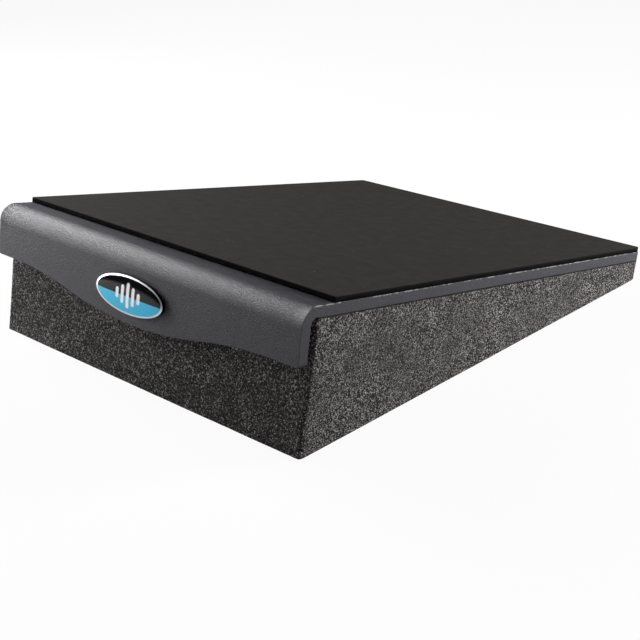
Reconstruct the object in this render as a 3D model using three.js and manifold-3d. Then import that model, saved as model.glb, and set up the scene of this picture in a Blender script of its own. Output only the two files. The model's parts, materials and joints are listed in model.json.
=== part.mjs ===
// Speaker isolation pad: a foam wedge under a bent steel plate, with a non-slip mat on top and an oval badge.
// Millimetres, +Z up, the front towards -Y. The origin is the centre of the foam's flat bottom.
import * as THREE from "three";
import { mergeVertices } from "three/addons/utils/BufferGeometryUtils.js";
import Module from "manifold-3d";

// Driving dimensions. Lengths along the slope and heights square to it are measured on the plate.
const PAD_WIDTH = 260;
const SLOPE_DEGREES = 10.3;

const PLATE_LENGTH = 352; // from the lip's outer face to the back edge
const PLATE_THICKNESS = 6.35;
const BEND_INSIDE_RADIUS = 5.5;
const PLATE_REAR_CORNER_RADIUS = 3;

const LIP_DEPTH_AT_ENDS = 31.5; // from the plate's top face
const LIP_DEPTH_AT_CENTRE = 43.5;
const LIP_SWELL_HALF_LENGTH = 115; // from the centre to where the lower edge runs straight
const LIP_CORNER_RADIUS = 4;

const FOAM_BACK_THICKNESS = 13.4;
const FOAM_TO_LIP_GAP = 4.1;
const FOAM_TOP_EDGE_RADIUS = 2;
const FOAM_BACK_BOTTOM_RADIUS = 4;
const FOAM_CUT_EDGE_RADIUS = 1;

const MAT_THICKNESS = 3;
const MAT_SETBACK = 22.7; // from the lip's outer face to the mat's front edge
const MAT_SIDE_INSET = 0.3;
const MAT_REAR_CORNER_RADIUS = 2.5;

const BADGE_LENGTH = 58;
const BADGE_HEIGHT = 22;
const BADGE_RISE = 17.2; // from the lip's lowest edge to the badge's centre
const BEZEL_DEPTH = 1.7;
const BEZEL_FLOOR = 0.5;
const BEZEL_RIM = 0.6;
const LABEL_EDGE_THICKNESS = 0.7;
const LABEL_CROWN = 0.9;

const BOND_GAP = 0.3; // the film of glue or tape between two bonded pieces
const CUT_MARGIN = 1; // how far a cutting shape runs past what it cuts
const CURVE_SEGMENTS = 16;
const OVAL_SEGMENTS = 32; // in half a turn

// Sizes that follow from these
const halfWidth = PAD_WIDTH / 2;
const slope = THREE.MathUtils.degToRad(SLOPE_DEGREES);
const bendOutsideRadius = PLATE_THICKNESS + BEND_INSIDE_RADIUS;
const foamTop = -PLATE_THICKNESS - BOND_GAP;
const foamFront = PLATE_THICKNESS + FOAM_TO_LIP_GAP;
const foamBackBottom = foamTop - FOAM_BACK_THICKNESS;
const foamFrontBottom = foamBackBottom - (PLATE_LENGTH - foamFront) * Math.tan(slope);
// The foam's top front edge also clears the inside of the bend.
const foamTopEdgeRadius = Math.max(FOAM_TOP_EDGE_RADIUS, BEND_INSIDE_RADIUS - FOAM_TO_LIP_GAP + BOND_GAP);
const badgeCentre = BADGE_RISE - LIP_DEPTH_AT_CENTRE;

const wasm = await Module();
wasm.setup();

// A closed geometry as a solid that can be joined and cut.
function solidOf(geometry) {
  const bare = geometry.clone();
  bare.deleteAttribute("normal");
  bare.deleteAttribute("uv");
  const merged = mergeVertices(bare, 1e-5);
  const mesh = new wasm.Mesh({
    numProp: 3,
    vertProperties: new Float32Array(merged.attributes.position.array),
    triVerts: new Uint32Array(merged.index.array),
  });
  return new wasm.Manifold(mesh);
}

// A solid as a flat-shaded geometry.
function geometryOf(solid) {
  const { vertProperties, triVerts } = solid.getMesh();
  const indexed = new THREE.BufferGeometry();
  indexed.setAttribute("position", new THREE.BufferAttribute(vertProperties, 3));
  indexed.setIndex(new THREE.BufferAttribute(triVerts, 1));
  const faceted = indexed.toNonIndexed();
  faceted.computeVertexNormals();
  return faceted;
}

// On the plate, +X runs across the pad, +Y back down the slope and +Z out of the plate's top face.
// The plate's zero is where its top face and the lip's outer face would meet.

function extrude(shape, depth, curveSegments = CURVE_SEGMENTS) {
  return new THREE.ExtrudeGeometry(shape, { depth, bevelEnabled: false, curveSegments });
}

// A side profile (along the slope, height) carried right across a width, centred on the pad.
function acrossThePad(profile, width) {
  const turn = new THREE.Matrix4().makeBasis(
    new THREE.Vector3(0, 1, 0),
    new THREE.Vector3(0, 0, 1),
    new THREE.Vector3(1, 0, 0),
  );
  return extrude(profile, width).translate(0, 0, -width / 2).applyMatrix4(turn);
}

// An outline seen from above the plate (across, along the slope) carried from one height to another.
function fromAbove(outline, low, high) {
  return extrude(outline, high - low).translate(0, 0, low);
}

// An outline seen from the front (across, height) carried from one place along the slope to another.
function fromTheFront(outline, near, far, curveSegments = CURVE_SEGMENTS) {
  return extrude(outline, far - near, curveSegments).rotateX(Math.PI / 2).translate(0, far, 0);
}

// An oval round the badge's centre, seen from the front.
function oval(length, height) {
  return new THREE.Shape().absellipse(0, badgeCentre, length / 2, height / 2, 0, 2 * Math.PI, false, 0);
}

// The rectangle that a plate or mat covers, seen from above, with its two rear corners rounded.
function roundedAtTheRear(halfAcross, front, back, cornerRadius) {
  const outline = new THREE.Shape();
  outline.moveTo(-halfAcross, front);
  outline.lineTo(halfAcross, front);
  outline.lineTo(halfAcross, back - cornerRadius);
  outline.absarc(halfAcross - cornerRadius, back - cornerRadius, cornerRadius, 0, Math.PI / 2, false);
  outline.lineTo(cornerRadius - halfAcross, back);
  outline.absarc(cornerRadius - halfAcross, back - cornerRadius, cornerRadius, Math.PI / 2, Math.PI, false);
  outline.closePath();
  return outline;
}

// A closed profile through the given corners, each rounded by its own radius.
function roundedProfile(corners) {
  const profile = new THREE.Shape();
  corners.forEach(({ at, radius }, index) => {
    const before = corners[(index + corners.length - 1) % corners.length].at;
    const after = corners[(index + 1) % corners.length].at;
    const toBefore = before.clone().sub(at).normalize();
    const toAfter = after.clone().sub(at).normalize();
    const halfAngle = Math.acos(toBefore.dot(toAfter)) / 2;
    const reach = radius / Math.tan(halfAngle);
    const inwards = toBefore.clone().add(toAfter).normalize();
    const centre = at.clone().addScaledVector(inwards, radius / Math.sin(halfAngle));
    const start = at.clone().addScaledVector(toBefore, reach).sub(centre);
    const end = at.clone().addScaledVector(toAfter, reach).sub(centre);
    const clockwise = toBefore.cross(toAfter) > 0;
    profile.absarc(centre.x, centre.y, radius, start.angle(), end.angle(), clockwise);
  });
  profile.closePath();
  return profile;
}

// A wedge cut from one block of foam. Its front and back are square to the plate, its bottom a slanted cut.
function foamBase() {
  const profile = roundedProfile([
    { at: new THREE.Vector2(foamFront, foamTop), radius: foamTopEdgeRadius },
    { at: new THREE.Vector2(foamFront, foamFrontBottom), radius: FOAM_CUT_EDGE_RADIUS },
    { at: new THREE.Vector2(PLATE_LENGTH, foamBackBottom), radius: FOAM_BACK_BOTTOM_RADIUS },
    { at: new THREE.Vector2(PLATE_LENGTH, foamTop), radius: FOAM_CUT_EDGE_RADIUS },
  ]);
  return acrossThePad(profile, PAD_WIDTH);
}

// The plate's side profile: flat, then bent square down into the lip.
function bentProfile() {
  const profile = new THREE.Shape();
  profile.moveTo(PLATE_LENGTH, 0);
  profile.lineTo(bendOutsideRadius, 0);
  profile.absarc(bendOutsideRadius, -bendOutsideRadius, bendOutsideRadius, Math.PI / 2, Math.PI, false);
  profile.lineTo(0, -LIP_DEPTH_AT_CENTRE - CUT_MARGIN);
  profile.lineTo(PLATE_THICKNESS, -LIP_DEPTH_AT_CENTRE - CUT_MARGIN);
  profile.lineTo(PLATE_THICKNESS, -bendOutsideRadius);
  profile.absarc(bendOutsideRadius, -bendOutsideRadius, BEND_INSIDE_RADIUS, Math.PI, Math.PI / 2, true);
  profile.lineTo(PLATE_LENGTH, -PLATE_THICKNESS);
  profile.closePath();
  return profile;
}

// The plate seen from the front. Its lower edge swells down at the middle in three arcs of one radius,
// each tangent to the next and to the straight ends.
function lipOutline() {
  const swell = LIP_DEPTH_AT_CENTRE - LIP_DEPTH_AT_ENDS;
  const radius = (LIP_SWELL_HALF_LENGTH ** 2 + swell ** 2) / (4 * swell);
  const turn = Math.asin(LIP_SWELL_HALF_LENGTH / (2 * radius));
  const down = -Math.PI / 2;
  const up = Math.PI / 2;
  const cornerCentre = halfWidth - LIP_CORNER_RADIUS;
  const cornerHeight = LIP_CORNER_RADIUS - LIP_DEPTH_AT_ENDS;
  const shoulderHeight = -LIP_DEPTH_AT_ENDS - radius;

  const outline = new THREE.Shape();
  outline.moveTo(halfWidth, CUT_MARGIN);
  outline.lineTo(-halfWidth, CUT_MARGIN);
  outline.absarc(-cornerCentre, cornerHeight, LIP_CORNER_RADIUS, Math.PI, 1.5 * Math.PI, false);
  outline.absarc(-LIP_SWELL_HALF_LENGTH, shoulderHeight, radius, up, up - turn, true);
  outline.absarc(0, radius - LIP_DEPTH_AT_CENTRE, radius, down - turn, down + turn, false);
  outline.absarc(LIP_SWELL_HALF_LENGTH, shoulderHeight, radius, up + turn, up, true);
  outline.absarc(cornerCentre, cornerHeight, LIP_CORNER_RADIUS, down, 0, false);
  outline.closePath();
  return outline;
}

// One sheet of quarter-inch steel, cut to its outline and bent once.
function steelPlate() {
  const bent = solidOf(acrossThePad(bentProfile(), PAD_WIDTH + 2 * CUT_MARGIN));
  const front = solidOf(fromTheFront(lipOutline(), -CUT_MARGIN, PLATE_LENGTH + CUT_MARGIN));
  const footprint = roundedAtTheRear(halfWidth, -CUT_MARGIN, PLATE_LENGTH, PLATE_REAR_CORNER_RADIUS);
  const above = solidOf(fromAbove(footprint, -LIP_DEPTH_AT_CENTRE - CUT_MARGIN, CUT_MARGIN));
  return geometryOf(bent.intersect(front).intersect(above));
}

// A thin sheet of rubber bonded to the plate behind the bend.
function topMat() {
  const halfAcross = halfWidth - MAT_SIDE_INSET;
  const outline = roundedAtTheRear(halfAcross, MAT_SETBACK, PLATE_LENGTH, MAT_REAR_CORNER_RADIUS);
  return fromAbove(outline, BOND_GAP, BOND_GAP + MAT_THICKNESS);
}

// A shallow oval tray taped to the middle of the lip.
function badgeBezel() {
  const back = -BOND_GAP;
  const outline = oval(BADGE_LENGTH, BADGE_HEIGHT);
  const pocket = oval(BADGE_LENGTH - 2 * BEZEL_RIM, BADGE_HEIGHT - 2 * BEZEL_RIM);
  const outer = fromTheFront(outline, back - BEZEL_DEPTH, back, OVAL_SEGMENTS);
  const hollow = fromTheFront(pocket, back - BEZEL_DEPTH - CUT_MARGIN, back - BEZEL_FLOOR, OVAL_SEGMENTS);
  return geometryOf(solidOf(outer).subtract(solidOf(hollow)));
}

// A printed disc under a low dome of resin, which sits in the tray.
function badgeLabel() {
  const halfLength = BADGE_LENGTH / 2 - BEZEL_RIM - BOND_GAP;
  const halfHeight = BADGE_HEIGHT / 2 - BEZEL_RIM - BOND_GAP;
  const profile = [new THREE.Vector2(0, 0), new THREE.Vector2(halfLength, 0)];
  for (let step = 0; step <= CURVE_SEGMENTS; step += 1) {
    const angle = (step / CURVE_SEGMENTS) * (Math.PI / 2);
    const rise = LABEL_EDGE_THICKNESS + LABEL_CROWN * Math.sin(angle);
    profile.push(new THREE.Vector2(halfLength * Math.cos(angle), rise));
  }
  profile[profile.length - 1].x = 0;
  const dome = new THREE.LatheGeometry(profile, 2 * OVAL_SEGMENTS);
  const seat = -BOND_GAP - BEZEL_FLOOR - BOND_GAP;
  return dome.rotateX(Math.PI).scale(1, 1, halfHeight / halfLength).translate(0, seat, badgeCentre);
}

function mesh(name, geometry, color, roughness, metalness) {
  const made = new THREE.Mesh(geometry, new THREE.MeshStandardMaterial({ color, roughness, metalness }));
  made.name = name;
  return made;
}

const sloped = new THREE.Group();
sloped.rotation.x = -slope;
sloped.add(
  mesh("foam_base", foamBase(), 0x2e2b29, 1, 0),
  mesh("steel_plate", steelPlate(), 0x46484c, 0.45, 0.4),
  mesh("top_mat", topMat(), 0x2b2927, 0.9, 0),
  mesh("badge_bezel", badgeBezel(), 0xd8dadc, 0.2, 1),
  mesh("badge_label", badgeLabel(), 0x3fa9c9, 0.1, 0),
);

// The foam's slanted cut stands on the ground, with its middle at the origin.
const frontFoot = new THREE.Vector3(0, foamFront, foamFrontBottom).applyEuler(sloped.rotation);
const backFoot = new THREE.Vector3(0, PLATE_LENGTH, foamBackBottom).applyEuler(sloped.rotation);
sloped.position.set(0, -(frontFoot.y + backFoot.y) / 2, -frontFoot.z);

const pad = new THREE.Group();
pad.add(sloped);

export default pad;
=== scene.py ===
"""Speaker isolation pad: a foam wedge under a bent steel plate, with a rubber mat and an oval badge."""

import json
import math

import bmesh
import bpy
from mathutils import Matrix, Vector, noise


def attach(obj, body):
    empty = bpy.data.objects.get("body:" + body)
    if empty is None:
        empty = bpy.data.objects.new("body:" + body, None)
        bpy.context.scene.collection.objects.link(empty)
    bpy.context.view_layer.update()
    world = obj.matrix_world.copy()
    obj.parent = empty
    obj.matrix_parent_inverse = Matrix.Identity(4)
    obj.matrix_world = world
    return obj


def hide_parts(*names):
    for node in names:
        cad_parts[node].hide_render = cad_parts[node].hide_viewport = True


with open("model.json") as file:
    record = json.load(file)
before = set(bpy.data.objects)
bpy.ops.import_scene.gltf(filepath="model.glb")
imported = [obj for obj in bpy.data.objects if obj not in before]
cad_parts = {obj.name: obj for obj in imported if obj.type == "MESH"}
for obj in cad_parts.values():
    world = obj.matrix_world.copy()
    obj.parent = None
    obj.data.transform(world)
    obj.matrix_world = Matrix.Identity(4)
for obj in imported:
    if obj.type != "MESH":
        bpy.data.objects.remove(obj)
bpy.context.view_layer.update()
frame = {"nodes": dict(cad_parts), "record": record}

# Foam base: a wedge sawn from one block of charcoal foam with open cells. The saw leaves its faces flat but
# rough, and its edges a little soft. It stands on its slanted cut, and the plate is glued to its top.
MM = 0.001
GLUE = 0.3 * MM
# Painted shade: a dark band along the foam's top, just under the plate's edge.
PAINTED_JOINT_SHADE_DEPTH = 0.9 * MM
PAINTED_JOINT_SHADE_FADE = 0.4 * MM
FOAM_BACK_BOTTOM_RADIUS = 4.0 * MM
FOAM_FRONT_TOP_RADIUS = 2.0 * MM
FOAM_CUT_EDGE_RADIUS = 0.7 * MM
FOAM_UPRIGHT_EDGE_RADIUS = 1.8 * MM
FOAM_BULGE = 1.2 * MM
FOAM_NET = 0.95 * MM
FOAM_SHORT_EDGE = 5.0 * MM
FOAM_STILL_MARGIN = 0.01 * MM
FOAM_GRAIN_DEPTH = 0.20 * MM
FOAM_GRAIN_LENGTH = 1.4 * MM
FOAM_WAVE_DEPTH = 0.30 * MM
FOAM_WAVE_LENGTH = 40.0 * MM
FOAM_CELL = 0.78 * MM
FOAM_SMALL_CELL = 0.50 * MM
FOAM_CELL_DEPTH = 0.35 * MM
FOAM_PATCH = 16.0 * MM
FOAM_PORE_COLOUR = (0.006, 0.0052, 0.0050, 1)
# Painted glints: bright specks of colour that stand in for light caught on the foam's cell walls.
FOAM_WARM_PAINTED_GLINT_COLOUR = (0.70, 0.61, 0.56, 1)
FOAM_COOL_PAINTED_GLINT_COLOUR = (0.60, 0.60, 0.63, 1)
FOAM_PAINTED_GLINT_RARITY = 5.0
FOAM_PAINTED_GLINT_STRENGTH = 0.60
FOAM_PATCH_PAINTED_GLINT_STRENGTH = 0.38

# The plate slopes down to the back. Pieces are made level, with Y down the slope and Z out of the plate's top
# face, and are tilted into place.
rest_axis = next(mount["axis"] for mount in frame["record"]["mounts"] if mount["name"] == "speaker_rest")
slope = math.atan2(rest_axis[1], rest_axis[2])
tilt = Matrix.Rotation(-slope, 4, "X")


def level_box(node):
    """The lowest and highest corners of a CAD node, with the slope taken out."""
    corners = [tilt.inverted() @ vertex.co for vertex in frame["nodes"][node].data.vertices]
    low = Vector(min(corner[axis] for corner in corners) for axis in range(3))
    high = Vector(max(corner[axis] for corner in corners) for axis in range(3))
    return low, high


def block(low, high):
    """A new mesh that holds one rectangular block between two corners."""
    mesh = bmesh.new()
    place = Matrix.Translation((low + high) / 2) @ Matrix.Diagonal((high - low).to_4d())
    bmesh.ops.create_cube(mesh, size=1, matrix=place)
    return mesh


def round_edges(mesh, edges, radius, segments):
    """Rounds some edges of a mesh."""
    bmesh.ops.bevel(
        mesh,
        geom=list(edges),
        offset=radius,
        offset_type="OFFSET",
        affect="EDGES",
        segments=segments,
        profile=0.5,
        material=-1,
        clamp_overlap=True,
    )


def piece_from(mesh, name, material, node):
    """A finished piece that stands for a CAD node, with its place in its mesh."""
    bmesh.ops.recalc_face_normals(mesh, faces=mesh.faces)
    for face in mesh.faces:
        face.smooth = True
    data = bpy.data.meshes.new(name)
    mesh.to_mesh(data)
    mesh.free()
    data.materials.append(material)
    made = bpy.data.objects.new(name, data)
    bpy.context.scene.collection.objects.link(made)
    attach(made, "root")
    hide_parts(node)
    return made


class Signal:
    """The output of one shader node. Sums and products of signals add the Math nodes they need."""

    def __init__(self, tree, socket=None):
        self.tree = tree
        self.socket = socket

    def node(self, kind, settings, sockets, output=0):
        """Adds a node, sets it up, then sets or links its sockets, and gives the signal of one output."""
        made = self.tree.nodes.new("ShaderNode" + kind)
        for name, value in settings.items():
            setattr(made, name, value)
        for name, value in sockets.items():
            if isinstance(value, Signal):
                self.tree.links.new(value.socket, made.inputs[name])
            else:
                made.inputs[name].default_value = value
        return Signal(self.tree, made.outputs[output] if made.outputs else None)

    def maths(self, operation, first, second=0.0):
        """One Math node, on signals or plain numbers."""
        return self.node("Math", {"operation": operation}, {0: first, 1: second})

    def __add__(self, other):
        return self.maths("ADD", self, other)

    def __radd__(self, other):
        return self.maths("ADD", other, self)

    def __sub__(self, other):
        return self.maths("SUBTRACT", self, other)

    def __rsub__(self, other):
        return self.maths("SUBTRACT", other, self)

    def __mul__(self, other):
        return self.maths("MULTIPLY", self, other)

    def __rmul__(self, other):
        return self.maths("MULTIPLY", other, self)

    def __pow__(self, other):
        return self.maths("POWER", self, other)

    def __abs__(self):
        return self.maths("ABSOLUTE", self)

    def __gt__(self, other):
        return self.maths("GREATER_THAN", self, other)

    def __lt__(self, other):
        return self.maths("LESS_THAN", self, other)

    def larger(self, other):
        """The larger of two signals."""
        return self.maths("MAXIMUM", self, other)

    def ramp(self, start, end):
        """0 below start, 1 above end, and a smooth step between."""
        sockets = {"Value": self, "From Min": start, "From Max": end}
        return self.node("MapRange", {"interpolation_type": "SMOOTHSTEP"}, sockets)

    def part(self, axis):
        """One of the three numbers of a vector or colour."""
        return self.node("SeparateXYZ", {}, {0: self}, output=axis)

    def mix(self, none, full):
        """A colour that goes from one to another as this signal goes from 0 to 1."""
        sockets = {0: self, 6: none, 7: full}
        return self.node("Mix", {"data_type": "RGBA"}, sockets, output=2)

    def voronoi(self, size, output="Distance"):
        """Cells of about the given size in this vector's space."""
        return self.node("TexVoronoi", {}, {"Vector": self, "Scale": 1 / size}, output)

    def noise(self, size, detail=2.0, roughness=0.5):
        """Soft noise with features of about the given size."""
        sockets = {"Vector": self, "Scale": 1 / size, "Detail": detail, "Roughness": roughness}
        return self.node("TexNoise", {}, sockets)

    def bump(self, depth, strength):
        """This height, between 0 and 1, as a normal."""
        return self.node("Bump", {}, {"Height": self, "Distance": depth, "Strength": strength})


def new_material(name):
    """An empty material, and its Object coordinates with the slope taken out, in metres."""
    material = bpy.data.materials.new(name)
    material.use_nodes = True
    tree = material.node_tree
    tree.nodes.clear()
    place = Signal(tree).node("TexCoord", {}, {}, output="Object")
    level = place.node("Mapping", {"vector_type": "POINT"}, {"Vector": place, "Rotation": (slope, 0, 0)})
    return material, level


def finish_material(level, **sockets):
    """Ends a material in one Principled surface. Each socket is named with underscores for its spaces."""
    names = {name.replace("_", " "): value for name, value in sockets.items()}
    surface = level.node("BsdfPrincipled", {}, names)
    level.node("OutputMaterial", {}, {"Surface": surface})


def foam_material(top):
    """Open cells: dark pores, painted glints for light caught by the cells, and a painted shade line along
    the top.
    """
    material, level = new_material("charcoal_foam")

    def cells(size):
        """How far from the walls between cells a place is, and two numbers that differ from cell to cell."""
        middle = 1 - level.voronoi(size).ramp(0.30, 0.80)
        chance = level.voronoi(size, output="Color")
        return middle, chance.part(0), chance.part(1)

    middle, chance, hue = cells(FOAM_CELL)
    small_middle, small_chance, _ = cells(FOAM_SMALL_CELL)
    # Painted glints: a few bright cells get a light colour in place of the light their walls would catch.
    painted_glint_amount = middle * chance**FOAM_PAINTED_GLINT_RARITY + small_middle * small_chance**FOAM_PAINTED_GLINT_RARITY * 0.6
    patch = level.noise(FOAM_PATCH, detail=3.0).ramp(0.2, 0.8)
    painted_glint_colour = hue.mix(FOAM_WARM_PAINTED_GLINT_COLOUR, FOAM_COOL_PAINTED_GLINT_COLOUR)
    colour = (painted_glint_amount * (FOAM_PAINTED_GLINT_STRENGTH + patch * FOAM_PATCH_PAINTED_GLINT_STRENGTH)).mix(FOAM_PORE_COLOUR, painted_glint_colour)
    # Painted shade: the foam goes to its darkest colour in a thin band just under the plate.
    joint_shade_start = top - PAINTED_JOINT_SHADE_DEPTH
    painted_joint_shade = level.part(2).ramp(joint_shade_start, joint_shade_start + PAINTED_JOINT_SHADE_FADE)
    relief = middle * chance * 0.6 + small_middle * small_chance * 0.4
    finish_material(
        level,
        Base_Color=painted_joint_shade.mix(colour, FOAM_PORE_COLOUR),
        Roughness=0.9,
        Normal=relief.bump(FOAM_CELL_DEPTH, 0.7),
        Specular_IOR_Level=0.25,
    )
    return material


def saw(mesh, place, outwards):
    """Cuts a solid with a plane. What lies outwards of it falls away, and the cut is closed."""
    whole = mesh.verts[:] + mesh.edges[:] + mesh.faces[:]
    cut = bmesh.ops.bisect_plane(mesh, geom=whole, plane_co=place, plane_no=outwards, clear_outer=True)
    rim = [part for part in cut["geom_cut"] if isinstance(part, bmesh.types.BMEdge)]
    bmesh.ops.edgeloop_fill(mesh, edges=rim)


def saw_round(mesh, corner, first, second, radius, cuts):
    """Rounds a straight edge with saw cuts, given a point on it and the ways that its two sides face."""
    centre = corner - (first + second) * (radius / (1 + first.dot(second)))
    for cut in range(cuts):
        outwards = first.slerp(second, (cut + 1) / (cuts + 1))
        saw(mesh, centre + outwards * radius, outwards)


def foam_wedge_mesh(low, high):
    """The wedge: a fine net on the walls of a block, sawn to the slanted cut, with its edges softened."""
    mesh = block(Vector((low.x, low.y, low.z - FOAM_BACK_BOTTOM_RADIUS)), high)

    def runs_along(edge, axis):
        step = edge.verts[0].co - edge.verts[1].co
        return abs(step[axis]) > 0.999 * step.length

    round_edges(mesh, [edge for edge in mesh.edges if runs_along(edge, 2)], FOAM_UPRIGHT_EDGE_RADIUS, 4)
    caps = [face for face in mesh.faces if abs(face.normal.z) > 0.5]
    bmesh.ops.delete(mesh, geom=caps, context="FACES_ONLY")
    for axis in (2, 1, 0):
        along = [edge for edge in mesh.edges if runs_along(edge, axis)]
        long_edges = [edge for edge in along if edge.calc_length() > FOAM_SHORT_EDGE]
        cuts = round((high - low)[axis] / FOAM_NET) - 1
        bmesh.ops.subdivide_edges(mesh, edges=long_edges, cuts=cuts)
    top_rim = [edge for edge in mesh.edges if edge.is_boundary and all(v.co.z > 0 for v in edge.verts)]
    bmesh.ops.edgeloop_fill(mesh, edges=top_rim)

    # Below the lip nothing holds the front in, so that it bulges a little towards the floor.
    for vertex in mesh.verts:
        near_front = 1 - min((vertex.co.y - low.y) / FOAM_UPRIGHT_EDGE_RADIUS, 1)
        below = min(max((high.z - vertex.co.z) / (high.z - low.z), 0), 1)
        vertex.co.y -= FOAM_BULGE * near_front * below

    bmesh.ops.transform(mesh, matrix=tilt, verts=mesh.verts)
    up, back, down = tilt.col[2].to_3d(), tilt.col[1].to_3d(), Vector((0, 0, -1))
    saw(mesh, Vector(), down)
    top_back = tilt @ Vector((0, high.y, high.z))
    saw_round(mesh, top_back - up * (top_back.z / up.z), down, back, FOAM_BACK_BOTTOM_RADIUS, 5)
    saw_round(mesh, tilt @ Vector((0, low.y, high.z)), up, -back, FOAM_FRONT_TOP_RADIUS, 3)
    for side in (low.x, high.x):
        across = Vector((math.copysign(1, side), 0, 0))
        saw_round(mesh, tilt @ Vector((side, 0, high.z)), up, across, FOAM_CUT_EDGE_RADIUS, 1)

    # The sawn walls are rough and not quite flat. The glued top stays flat, and the foot stays on the floor.
    mesh.normal_update()
    for vertex in mesh.verts:
        if (tilt.inverted() @ vertex.co).z > high.z - FOAM_STILL_MARGIN:
            continue
        grain = noise.noise(vertex.co / FOAM_GRAIN_LENGTH) * FOAM_GRAIN_DEPTH
        wave = noise.noise(vertex.co / FOAM_WAVE_LENGTH) * FOAM_WAVE_DEPTH
        push = vertex.normal * (grain + wave)
        if vertex.co.z < FOAM_STILL_MARGIN:
            push.z = 0
        vertex.co += push
    return mesh


foam_low, foam_high = level_box("foam_base")
foam_high.z += GLUE
foam_mesh = foam_wedge_mesh(foam_low, foam_high)
foam = piece_from(foam_mesh, "foam_wedge", foam_material(foam_high.z), "foam_base")
foam.data.set_sharp_from_angle(angle=math.radians(35))

# Steel plate: one sheet of quarter-inch steel, cut to its outline, bent once into the lip and powder-coated.
# The lip's lower edge swells down at the middle, and every edge is lightly broken before the coat goes on.
PLATE_THICKNESS = 6.35 * MM
PLATE_COLUMN = 2.0 * MM
PLATE_REAR_CORNER_RADIUS = 3.0 * MM
PLATE_EDGE_BREAK = 0.5 * MM
BEND_INSIDE_RADIUS = 5.5 * MM
BEND_STEPS = 20
BEND_END_FLARE = 0.80 * MM
BEND_END_FLARE_LENGTH = 9.0 * MM
LIP_DEPTH_AT_ENDS = 31.5 * MM
LIP_SWELL_HALF_LENGTH = 115.0 * MM
LIP_CORNER_RADIUS = 4.0 * MM
SAME_PLACE = 0.001 * MM
SHARP_CORNER = math.radians(60)
COAT_COLOUR = (0.010, 0.0100, 0.0140, 1)
COAT_LIGHT_COLOUR = (0.064, 0.063, 0.080, 1)
# Painted highlight: a pale colour for the top edges of the plate's cut sides, where they catch the light.
COAT_PAINTED_EDGE_HIGHLIGHT_COLOUR = (0.34, 0.34, 0.35, 1)
COAT_SHINE_TINT = (0.93, 0.93, 1.0, 1)
COAT_GRAIN = 0.74 * MM
COAT_GRAIN_DEPTH = 0.42 * MM
COAT_SPECK = 0.62 * MM
COAT_CLOUD = 30.0 * MM
COAT_EDGE_SHADE = 0.6
COAT_EDGE_HIGHLIGHT_START = 0.10 * MM
COAT_EDGE_HIGHLIGHT_END = 0.75 * MM
COAT_EDGE_HIGHLIGHT_PATCH = 4.0 * MM

plate_low, plate_high = level_box("steel_plate")
plate_top = plate_high.z
lip_face = plate_low.y
lip_depth = plate_high.z - plate_low.z
half_width = plate_high.x
bend_radius = BEND_INSIDE_RADIUS + PLATE_THICKNESS


def lip_edge_depth(across):
    """How far below the plate's top face the lip's lower edge lies, at a place across the pad."""
    swell = lip_depth - LIP_DEPTH_AT_ENDS
    radius = (LIP_SWELL_HALF_LENGTH**2 + swell**2) / (4 * swell)
    away = min(abs(across), LIP_SWELL_HALF_LENGTH)
    if away < LIP_SWELL_HALF_LENGTH / 2:
        return lip_depth - radius + math.sqrt(radius**2 - away**2)
    inwards = LIP_SWELL_HALF_LENGTH - away
    return LIP_DEPTH_AT_ENDS + radius - math.sqrt(radius**2 - inwards**2)


def powder_coat_material():
    """A sandy coat, lighter on high spots, with painted shade on the cut sides and a painted highlight on
    their top edges.
    """
    material, level = new_material("powder_coat")
    sand = level.noise(COAT_GRAIN, detail=3.0, roughness=0.65)
    speck = level.voronoi(COAT_SPECK, output="Color").part(0)
    high_spots = sand.ramp(0.40, 0.64) * 0.4 + speck**2.0 * 0.6
    cloud = level.noise(COAT_CLOUD)
    off_side = half_width - abs(level.part(0))
    off_top = plate_top - level.part(2)
    # Painted highlight: a broken bright line along the top edges of the cut sides, where they catch the
    # light.
    at_side = 1 - off_side.ramp(COAT_EDGE_HIGHLIGHT_START, COAT_EDGE_HIGHLIGHT_END)
    at_top = 1 - off_top.ramp(COAT_EDGE_HIGHLIGHT_START, COAT_EDGE_HIGHLIGHT_END)
    patchy = level.noise(COAT_EDGE_HIGHLIGHT_PATCH, detail=3.0, roughness=0.7).ramp(0.46, 0.60)
    painted_edge_highlight = at_side * at_top * patchy
    # Painted shade: the cut sides are darkened, with most of their light high spots taken away.
    painted_side_shade = (1 - off_side.ramp(0.2 * MM, 0.6 * MM)) * COAT_EDGE_SHADE
    coat = painted_side_shade.mix(high_spots.mix(COAT_COLOUR, COAT_LIGHT_COLOUR), COAT_COLOUR)
    finish_material(
        level,
        Base_Color=painted_edge_highlight.mix(coat, COAT_PAINTED_EDGE_HIGHLIGHT_COLOUR),
        Roughness=0.34 + cloud * 0.08 + speck * 0.20,
        Normal=sand.bump(COAT_GRAIN_DEPTH, 0.9),
        Specular_IOR_Level=0.52,
        Specular_Tint=COAT_SHINE_TINT,
    )
    return material


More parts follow.
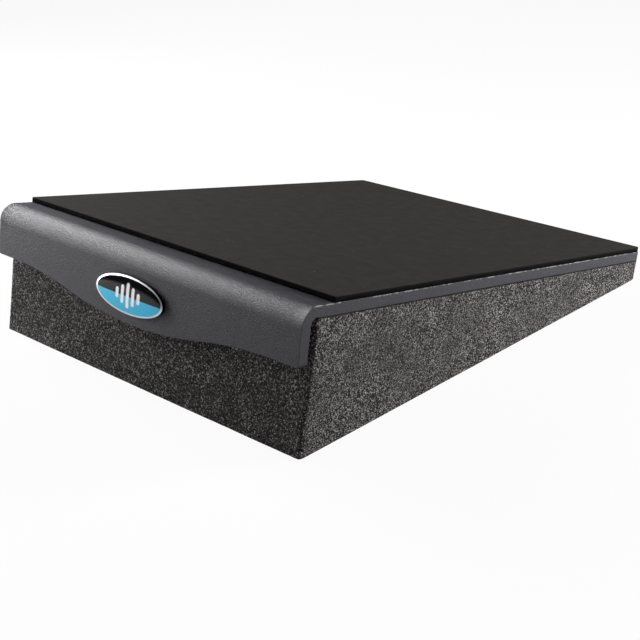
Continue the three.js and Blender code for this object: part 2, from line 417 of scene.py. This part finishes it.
def steel_plate_mesh():
    """The bent sheet: a strip at the bend line, spun into the bend, then drawn out into lip and plate."""
    mesh = bmesh.new()
    bend_line = lip_face + bend_radius
    bend_centre = plate_top - bend_radius
    middle = Vector((0, bend_line, plate_top - PLATE_THICKNESS / 2))
    strip = Matrix.Translation(middle) @ Matrix.Rotation(math.pi / 2, 4, "X")
    strip = strip @ Matrix.Diagonal((2 * half_width, PLATE_THICKNESS, 1, 1))
    columns = round(2 * half_width / PLATE_COLUMN)
    bmesh.ops.create_grid(mesh, x_segments=columns, y_segments=1, size=0.5, matrix=strip)
    bent = bmesh.ops.spin(
        mesh,
        geom=mesh.verts[:] + mesh.edges[:] + mesh.faces[:],
        cent=(0, bend_line, bend_centre),
        axis=(1, 0, 0),
        angle=math.pi / 2,
        steps=BEND_STEPS,
        use_merge=False,
        use_duplicate=False,
    )

    lip_end = [part for part in bent["geom_last"] if isinstance(part, bmesh.types.BMFace)]
    drawn = bmesh.ops.extrude_face_region(mesh, geom=lip_end)
    for vertex in drawn["geom"]:
        if isinstance(vertex, bmesh.types.BMVert):
            vertex.co.z = plate_top - lip_edge_depth(vertex.co.x)

    # The bend's ends flare out a little, as thick sheet does when it is bent.
    flare_start = half_width - BEND_END_FLARE_LENGTH
    for vertex in mesh.verts:
        outwards = Vector((0, vertex.co.y - bend_line, vertex.co.z - bend_centre))
        if abs(vertex.co.x) > flare_start and outwards.z > 0 and outwards.y < 0:
            reach = (abs(vertex.co.x) - flare_start) / BEND_END_FLARE_LENGTH
            mid_bend = -2 * outwards.y * outwards.z / outwards.length_squared
            vertex.co += outwards.normalized() * (BEND_END_FLARE * reach**2 * mid_bend)

    mesh.normal_update()
    plate_end = [
        face
        for face in mesh.faces
        if face.calc_center_median().z > plate_top - PLATE_THICKNESS
        and all(abs(vertex.co.y - bend_line) < SAME_PLACE for vertex in face.verts)
    ]
    drawn = bmesh.ops.extrude_face_region(mesh, geom=plate_end)
    for vertex in drawn["geom"]:
        if isinstance(vertex, bmesh.types.BMVert):
            vertex.co.y = plate_high.y
    bmesh.ops.delete(mesh, geom=[face for face in plate_end if face.is_valid], context="FACES_ONLY")

    def side_edges_at(axis, place):
        """The edges on both sides of the pad that lie at a place along Y or Z."""
        return [
            edge
            for edge in mesh.edges
            if all(abs(abs(vertex.co.x) - half_width) < SAME_PLACE for vertex in edge.verts)
            and all(abs(vertex.co[axis] - place) < SAME_PLACE for vertex in edge.verts)
        ]

    round_edges(mesh, side_edges_at(2, plate_top - LIP_DEPTH_AT_ENDS), LIP_CORNER_RADIUS, 6)
    round_edges(mesh, side_edges_at(1, plate_high.y), PLATE_REAR_CORNER_RADIUS, 5)
    rims = [edge for edge in mesh.edges if edge.calc_face_angle(0) > SHARP_CORNER]
    round_edges(mesh, rims, PLATE_EDGE_BREAK, 3)
    return mesh


plate_mesh = steel_plate_mesh()
bmesh.ops.transform(plate_mesh, matrix=tilt, verts=plate_mesh.verts)
plate = piece_from(plate_mesh, "bent_plate", powder_coat_material(), "steel_plate")
even_light = plate.modifiers.new("flat_faces_stay_flat", "WEIGHTED_NORMAL")
even_light.keep_sharp = True

# Top mat: a sheet of near-black rubber, 3 mm thick, die-cut and bonded to the plate behind the bend.
# Its faces are matt and faintly mottled, and its cut edges are darker than its top.
MAT_REAR_CORNER_RADIUS = 2.5 * MM
MAT_EDGE_ROUNDING = 0.35 * MM
MAT_COLOUR = (0.0192, 0.0170, 0.0162, 1)
MAT_MOTTLE_COLOUR = (0.0250, 0.0222, 0.0211, 1)
MAT_EDGE_COLOUR = (0.003, 0.0026, 0.0024, 1)
MAT_MOTTLE = 9.0 * MM
MAT_GRAIN = 0.7 * MM
MAT_GRAIN_DEPTH = 0.10 * MM
MAT_LINT_COLOUR = (0.24, 0.23, 0.21, 1)
MAT_LINT_SPACING = 7.0 * MM
MAT_LINT_SIZE = 0.035
MAT_LINT_RARITY = 0.62

mat_low, mat_high = level_box("top_mat")
mat_low.z = plate_top


def mat_material():
    """Matt rubber with a slight mottle, a few specks of lint and dark cut edges."""
    material, level = new_material("mat_rubber")
    mottle = level.noise(MAT_MOTTLE, detail=5.0, roughness=0.6).ramp(0.35, 0.68)
    grain = level.noise(MAT_GRAIN)
    edge = 1 - level.part(2).ramp(mat_high.z - 0.5 * MM, mat_high.z - 0.1 * MM)
    chance = level.voronoi(MAT_LINT_SPACING, output="Color")
    lint = (level.voronoi(MAT_LINT_SPACING) < MAT_LINT_SIZE) * (chance > MAT_LINT_RARITY)
    top = lint.mix(mottle.mix(MAT_COLOUR, MAT_MOTTLE_COLOUR), MAT_LINT_COLOUR)
    finish_material(
        level,
        Base_Color=edge.mix(top, MAT_EDGE_COLOUR),
        Roughness=0.90,
        Normal=(grain * 0.6 + mottle * 0.4).bump(MAT_GRAIN_DEPTH, 0.5),
        Specular_IOR_Level=0.10,
    )
    return material


mat_mesh = block(mat_low, mat_high)
mat_rear_corners = [
    edge
    for edge in mat_mesh.edges
    if all(v.co.y > mat_high.y - MM for v in edge.verts) and abs(edge.verts[0].co.x - edge.verts[1].co.x) < MM
]
round_edges(mat_mesh, mat_rear_corners, MAT_REAR_CORNER_RADIUS, 5)
mat_top_rim = [
    edge
    for edge in mat_mesh.edges
    if edge.calc_face_angle(0) > SHARP_CORNER and any(v.co.z > mat_high.z - MM for v in edge.verts)
]
round_edges(mat_mesh, mat_top_rim, MAT_EDGE_ROUNDING, 2)
bmesh.ops.transform(mat_mesh, matrix=tilt, verts=mat_mesh.verts)
mat = piece_from(mat_mesh, "rubber_mat", mat_material(), "top_mat")
mat.modifiers.new("flat_faces_stay_flat", "WEIGHTED_NORMAL")

# Badge bezel: a shallow oval tray of metal, taped to the middle of the lip. Its thin rim is polished bright,
# and its sides are dark.
BEZEL_RIM = 0.42 * MM
BEZEL_FLOOR = 0.5 * MM
BEZEL_EDGE_ROUNDING = 0.12 * MM
BEZEL_COLOUR = (0.86, 0.87, 0.88, 1)
BEZEL_BRUSHED_COLOUR = (0.74, 0.75, 0.77, 1)
BEZEL_SIDE_COLOUR = (0.012, 0.012, 0.013, 1)
BEZEL_BRUSHING = 0.8 * MM
BEZEL_SIDE_START = 0.12 * MM
BEZEL_SIDE_FADE = 0.08 * MM
OVAL_SEGMENTS = 128

bezel_low, bezel_high = level_box("badge_bezel")
badge_centre = (bezel_low + bezel_high) / 2


def oval(length, height, place):
    """A new mesh that holds one upright oval face, seen from the front of the pad."""
    mesh = bmesh.new()
    stand = Matrix.Translation((0, place, badge_centre.z)) @ Matrix.Rotation(math.pi / 2, 4, "X")
    stand = stand @ Matrix.Diagonal((length, height, 1, 1))
    bmesh.ops.create_circle(mesh, cap_ends=True, segments=OVAL_SEGMENTS, radius=0.5, matrix=stand)
    return mesh


def draw_out(mesh, face, place):
    """Extrudes one face of an upright mesh to another place along Y, and gives the face at its end."""
    drawn = bmesh.ops.extrude_face_region(mesh, geom=[face])["geom"]
    for vertex in drawn:
        if isinstance(vertex, bmesh.types.BMVert):
            vertex.co.y = place
    return next(part for part in drawn if isinstance(part, bmesh.types.BMFace))


def bezel_material():
    """Metal with a bright, faintly brushed rim and dark sides."""
    material, level = new_material("bezel_metal")
    brushed = level.noise(BEZEL_BRUSHING)
    side_start = bezel_low.y + BEZEL_SIDE_START
    side = level.part(1).ramp(side_start, side_start + BEZEL_SIDE_FADE)
    finish_material(
        level,
        Base_Color=side.mix(brushed.mix(BEZEL_COLOUR, BEZEL_BRUSHED_COLOUR), BEZEL_SIDE_COLOUR),
        Metallic=1.0,
        Roughness=0.36 + brushed * 0.12 + side * 0.4,
    )
    return material


bezel_mesh = oval(bezel_high.x - bezel_low.x, bezel_high.z - bezel_low.z, lip_face)
bezel_front = draw_out(bezel_mesh, bezel_mesh.faces[:][0], bezel_low.y)
bmesh.ops.inset_region(bezel_mesh, faces=[bezel_front], thickness=BEZEL_RIM, use_even_offset=True)
draw_out(bezel_mesh, bezel_front, lip_face - GLUE - BEZEL_FLOOR)
bezel_rims = [
    edge
    for edge in bezel_mesh.edges
    if all(v.co.y < bezel_low.y + SAME_PLACE for v in edge.verts) and edge.calc_face_angle(0) > SHARP_CORNER
]
round_edges(bezel_mesh, bezel_rims, BEZEL_EDGE_ROUNDING, 3)
bmesh.ops.transform(bezel_mesh, matrix=tilt, verts=bezel_mesh.verts)
piece_from(bezel_mesh, "badge_rim", bezel_material(), "badge_bezel")

# Badge label: a printed foil disc under a low dome of clear resin, set in the bezel. Its print is plain and
# generic: a row of white bars, like a sound level, on a ground that is black above and blue below.
LABEL_EDGE = 0.7 * MM
LABEL_OVERSIZE = 0.18 * MM
LABEL_BLACK = (0.006, 0.006, 0.007, 1)
LABEL_BLUE = (0.045, 0.52, 0.80, 1)
LABEL_WHITE = (0.96, 0.96, 0.97, 1)
LABEL_FOIL = 0.72
LABEL_PRINT_GRAIN = 2.5 * MM
LABEL_WAVE = 11.0 * MM
LABEL_WAVE_DEPTH = 0.05 * MM
BAR_PITCH = 4.6 * MM
BAR_HALF_WIDTH = 1.25 * MM
BAR_HALF_HEIGHTS = (7.4 * MM, 5.4 * MM, 3.2 * MM)
BLUE_BELOW = -0.6 * MM

label_low, label_high = level_box("badge_label")
label_length = label_high.x - label_low.x + 2 * LABEL_OVERSIZE
label_height = label_high.z - label_low.z + 2 * LABEL_OVERSIZE
dome_height = (label_high.y - label_low.y) - LABEL_EDGE


def label_material():
    """White and blue inks on foil, and a plain black, seen through a clear gloss coat."""
    material, level = new_material("label_resin")
    across = abs(level.part(0))
    height = level.part(2) - badge_centre.z
    off_middle = abs(height)
    white = None
    for place, half_height in enumerate(BAR_HALF_HEIGHTS):
        beside = across - place * BAR_PITCH
        beyond = (off_middle - (half_height - BAR_HALF_WIDTH)).larger(0)
        bar = (beside * beside + beyond * beyond) < BAR_HALF_WIDTH**2
        white = bar if white is None else white.larger(bar)
    blue = height < BLUE_BELOW
    ground = blue.mix(LABEL_BLACK, LABEL_BLUE)
    tone = level.noise(LABEL_PRINT_GRAIN) * 0.06
    finish_material(
        level,
        Base_Color=tone.mix(white.mix(ground, LABEL_WHITE), LABEL_BLACK),
        Metallic=blue.larger(white) * LABEL_FOIL,
        Roughness=0.40,
        Normal=level.noise(LABEL_WAVE, detail=0.0).bump(LABEL_WAVE_DEPTH, 0.4),
        Specular_IOR_Level=0.0,
        Coat_Weight=0.6,
        Coat_Roughness=0.04,
    )
    return material


label_mesh = bmesh.new()
dome_place = Matrix.Translation((0, label_low.y + dome_height, badge_centre.z))
dome_size = Matrix.Diagonal((label_length, 2 * dome_height, label_height, 1))
pole_to_front = Matrix.Rotation(math.pi / 2, 4, "X")
bmesh.ops.create_uvsphere(
    label_mesh,
    u_segments=OVAL_SEGMENTS,
    v_segments=32,
    radius=0.5,
    matrix=dome_place @ dome_size @ pole_to_front,
)
behind = [v for v in label_mesh.verts if v.co.y > label_low.y + dome_height + 0.1 * SAME_PLACE]
bmesh.ops.delete(label_mesh, geom=behind, context="VERTS")
open_rim = [edge for edge in label_mesh.edges if edge.is_boundary]
back_face = bmesh.ops.edgeloop_fill(label_mesh, edges=open_rim)["faces"][0]
draw_out(label_mesh, back_face, label_high.y)
bmesh.ops.transform(label_mesh, matrix=tilt, verts=label_mesh.verts)
label = piece_from(label_mesh, "badge_dome", label_material(), "badge_label")
label.data.set_sharp_from_angle(angle=math.radians(50))

# Floor, light and camera: a plain white floor, soft studio light and the photograph's point of view.
# The camera sees floor and backdrop as white. To the pad, the floor is pale paint and the backdrop is dim.
FLOOR_SIDE = 12.0
FLOOR_COLOUR = (0.82, 0.82, 0.82, 1)
FLOOR_GLOW = 0.94
WHITE = (1, 1, 1, 1)
AMBIENT_STRENGTH = 0.03
SOFTBOX_SIDE = 0.40
SOFTBOX_AIM = Vector((0.0, -0.05, 0.05))
CAMERA_PLACE = (0.49784, -0.55628, 0.30140)
CAMERA_YAW = 41.41
CAMERA_PITCH = 22.86
CAMERA_LENS = 66.35
CAMERA_SHIFT = -0.0398


def seen_directly(tree):
    """1 where the camera looks straight at a surface or world, 0 where light only bounces off it."""
    return Signal(tree).node("LightPath", {}, {}, output="Is Camera Ray")


floor_mesh = bmesh.new()
bmesh.ops.create_grid(floor_mesh, x_segments=1, y_segments=1, size=FLOOR_SIDE / 2)
floor_data = bpy.data.meshes.new("floor")
floor_mesh.to_mesh(floor_data)
floor_mesh.free()
floor = bpy.data.objects.new("floor", floor_data)
bpy.context.scene.collection.objects.link(floor)

floor_material = bpy.data.materials.new("floor_white")
floor_material.use_nodes = True
floor_material.node_tree.nodes.clear()
seen = seen_directly(floor_material.node_tree)
paint = seen.node("BsdfDiffuse", {}, {"Color": FLOOR_COLOUR})
glow = seen.node("Emission", {}, {"Color": WHITE, "Strength": 1.0})
both = seen.node("MixShader", {}, {0: seen * FLOOR_GLOW, 1: paint, 2: glow})
seen.node("OutputMaterial", {}, {"Surface": both})
floor_data.materials.append(floor_material)

world = bpy.data.worlds.new("studio")
bpy.context.scene.world = world
world.use_nodes = True
world.node_tree.nodes.clear()
seen = seen_directly(world.node_tree)
ambient = seen.node("Background", {}, {"Color": WHITE, "Strength": AMBIENT_STRENGTH})
backdrop = seen.node("Background", {}, {"Color": WHITE, "Strength": 1.0})
both = seen.node("MixShader", {}, {0: seen, 1: ambient, 2: backdrop})
seen.node("OutputWorld", {}, {"Surface": both})


def softbox(name, place, power):
    """A square lamp that faces the middle of the pad."""
    lamp = bpy.data.lights.new(name, "AREA")
    lamp.shape = "RECTANGLE"
    lamp.size = SOFTBOX_SIDE
    lamp.size_y = SOFTBOX_SIDE
    lamp.energy = power
    made = bpy.data.objects.new(name, lamp)
    made.location = place
    made.rotation_euler = (SOFTBOX_AIM - Vector(place)).to_track_quat("-Z", "Y").to_euler()
    bpy.context.scene.collection.objects.link(made)


softbox("left_softbox", (-0.93, -0.05, 0.63), power=12.3)
softbox("left_low_softbox", (-1.00, -0.41, 0.34), power=8.2)
softbox("rear_softbox", (0.73, 0.81, 0.46), power=17.0)

camera_data = bpy.data.cameras.new("camera")
camera_data.sensor_width = 36.0
camera_data.lens = CAMERA_LENS
camera_data.shift_x = CAMERA_SHIFT
camera = bpy.data.objects.new("camera", camera_data)
camera.location = CAMERA_PLACE
camera.rotation_euler = (math.radians(90 - CAMERA_PITCH), 0, math.radians(CAMERA_YAW))
bpy.context.scene.collection.objects.link(camera)
bpy.context.scene.camera = camera
bpy.context.scene.view_settings.view_transform = "Standard"
